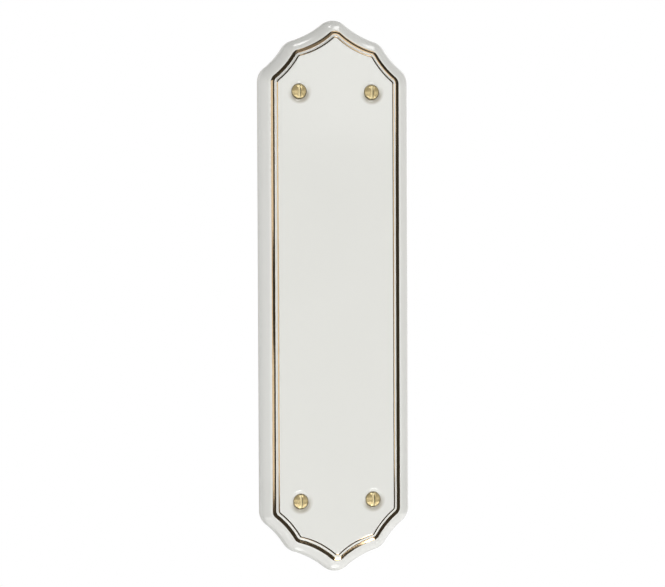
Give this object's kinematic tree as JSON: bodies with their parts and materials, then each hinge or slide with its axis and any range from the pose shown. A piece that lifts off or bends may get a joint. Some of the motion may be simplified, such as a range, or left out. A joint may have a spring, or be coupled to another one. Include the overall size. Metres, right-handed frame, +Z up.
{
  "type": "door finger plate",
  "caption": "Tall porcelain finger plate for a door, with scalloped pointed ends, a moulded rim and a flat field held by raised countersunk slotted screws.",
  "frame": {"origin": "centre of the screw pattern, on the plane of the door's face", "axes": "+Z runs up the plate's length as it hangs on a door, +X across it to the right as seen from the front, and +Y into the door, so the front faces -Y"},
  "size_m": [0.0742, 0.0209, 0.268],
  "materials": {
    "porcelain": "glossy",
    "brass": "polished"
  },
  "bodies": {
    "root": {"finger_plate": "porcelain", "fixing_screws": "brass"}
  },
  "joints": []
}
